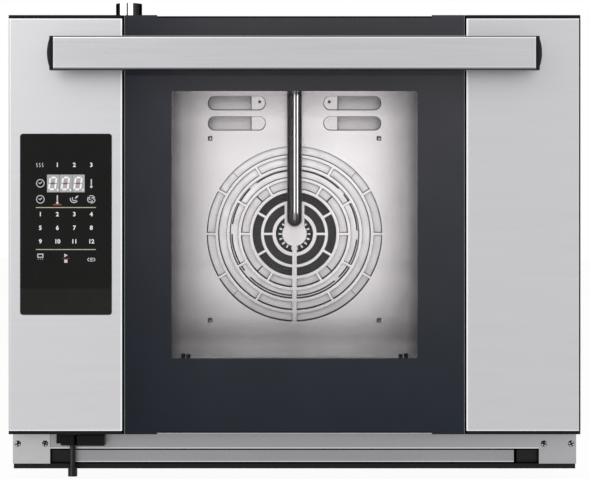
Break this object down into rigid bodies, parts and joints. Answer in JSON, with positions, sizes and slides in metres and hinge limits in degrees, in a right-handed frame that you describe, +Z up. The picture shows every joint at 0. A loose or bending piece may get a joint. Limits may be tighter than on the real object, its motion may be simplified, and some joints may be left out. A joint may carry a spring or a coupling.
{
  "type": "convection oven",
  "caption": "Compact convection oven with a full-width drop-down door, a dark glass window, a bar handle, a touch panel, a fan behind a ring-slotted guard and a drip tray.",
  "frame": {"origin": "middle of the oven's footprint at the bottom of its feet", "axes": "+X to the right seen from the front, +Y to the back, +Z up; the door faces -Y"},
  "size_m": [0.6, 0.669, 0.536],
  "materials": {
    "stainless_panel": "fine brushed stainless",
    "stainless_handle": "satin stainless",
    "rail_steel": "satin stainless",
    "cavity_steel": "bright stainless",
    "casing_steel": "satin stainless",
    "chrome_tube": "polished",
    "dark_pipe": "polished, reflecting the dark door",
    "dark_glass": "dark printed border, clear window",
    "clear_glass": "clear",
    "control_glass": "black printed glass",
    "black_plastic": "moulded",
    "black_base": "semi-gloss black",
    "screw_steel": "bright",
    "rubber_black": "matte",
    "mineral_wool": "matted fibre",
    "circuit_board": "solder mask",
    "lamp_cover": "translucent white",
    "motor_metal": "grey paint",
    "element_steel": "heat-darkened",
    "fan_aluminium": "plain",
    "valve_plastic": "white moulded",
    "brass_fitting": "machined"
  },
  "bodies": {
    "chassis": {"base_tray": "black_base", "feet": "rubber_black", "left_bracket": "rail_steel", "front_rail": "rail_steel", "bracket_screws": "screw_steel", "tray_guides": "black_base", "drain_cup": "black_plastic", "drain_fitting": "black_plastic", "drain_spout": "black_plastic", "hinge_arms": "casing_steel", "hinge_housings": "casing_steel", "casing_shell": "casing_steel", "front_frame": "cavity_steel", "door_gasket": "rubber_black", "rear_cover": "casing_steel", "rear_screws": "screw_steel", "cavity_liner": "cavity_steel", "insulation": "mineral_wool", "fan_guard": "cavity_steel", "vent_plate": "cavity_steel", "guard_pegs": "screw_steel", "motor_plate": "casing_steel", "fan_motor": "motor_metal", "heating_element": "element_steel", "chimney": "chrome_tube", "humidity_pipe": "dark_pipe", "water_tube": "black_plastic", "water_valve": "valve_plastic", "left_tray_rack": "cavity_steel", "right_tray_rack": "cavity_steel", "rack_studs": "screw_steel", "power_board": "circuit_board", "terminal_block": "valve_plastic", "cable_gland": "black_plastic", "cooling_fan_frame": "black_plastic", "cavity_probe": "screw_steel", "safety_thermostat": "valve_plastic"},
    "door": {"left_door_panel": "stainless_panel", "right_door_panel": "stainless_panel", "panel_trims": "black_plastic", "outer_glass": "dark_glass", "glass_frame": "casing_steel", "door_back_plate": "black_base", "inner_glass": "clear_glass", "inner_glass_clips": "screw_steel", "door_lamp": "lamp_cover", "handle_bar": "stainless_handle", "handle_caps": "black_plastic", "handle_posts": "stainless_handle", "control_glass": "control_glass", "control_housing": "black_plastic", "control_board": "circuit_board", "display_module": "black_plastic", "hinge_blocks": "casing_steel", "hinge_pins": "screw_steel"},
    "drip_tray": {"drip_tray": "rail_steel"},
    "convection_fan": {"fan_wheel": "fan_aluminium", "motor_shaft": "screw_steel", "shaft_nut": "brass_fitting"},
    "cooling_fan": {"cooling_fan_rotor": "black_plastic"}
  },
  "joints": [
    {"name": "door_hinge", "type": "hinge", "parent": "chassis", "child": "door", "pos_m": [0, -0.2795, 0.0596], "axis": [1, 0, 0], "range_deg": [0, 90]},
    {"name": "drip_tray_slide", "type": "slide", "parent": "chassis", "child": "drip_tray", "axis": [0, -1, 0], "range_m": [0, 0.28]},
    {"name": "convection_fan_spin", "type": "hinge", "parent": "chassis", "child": "convection_fan", "pos_m": [0, 0.1365, 0.2626], "axis": [0, 1, 0], "continuous": true},
    {"name": "cooling_fan_spin", "type": "hinge", "parent": "chassis", "child": "cooling_fan", "pos_m": [0.15, 0.3105, 0.217], "axis": [0, 1, 0], "continuous": true}
  ]
}
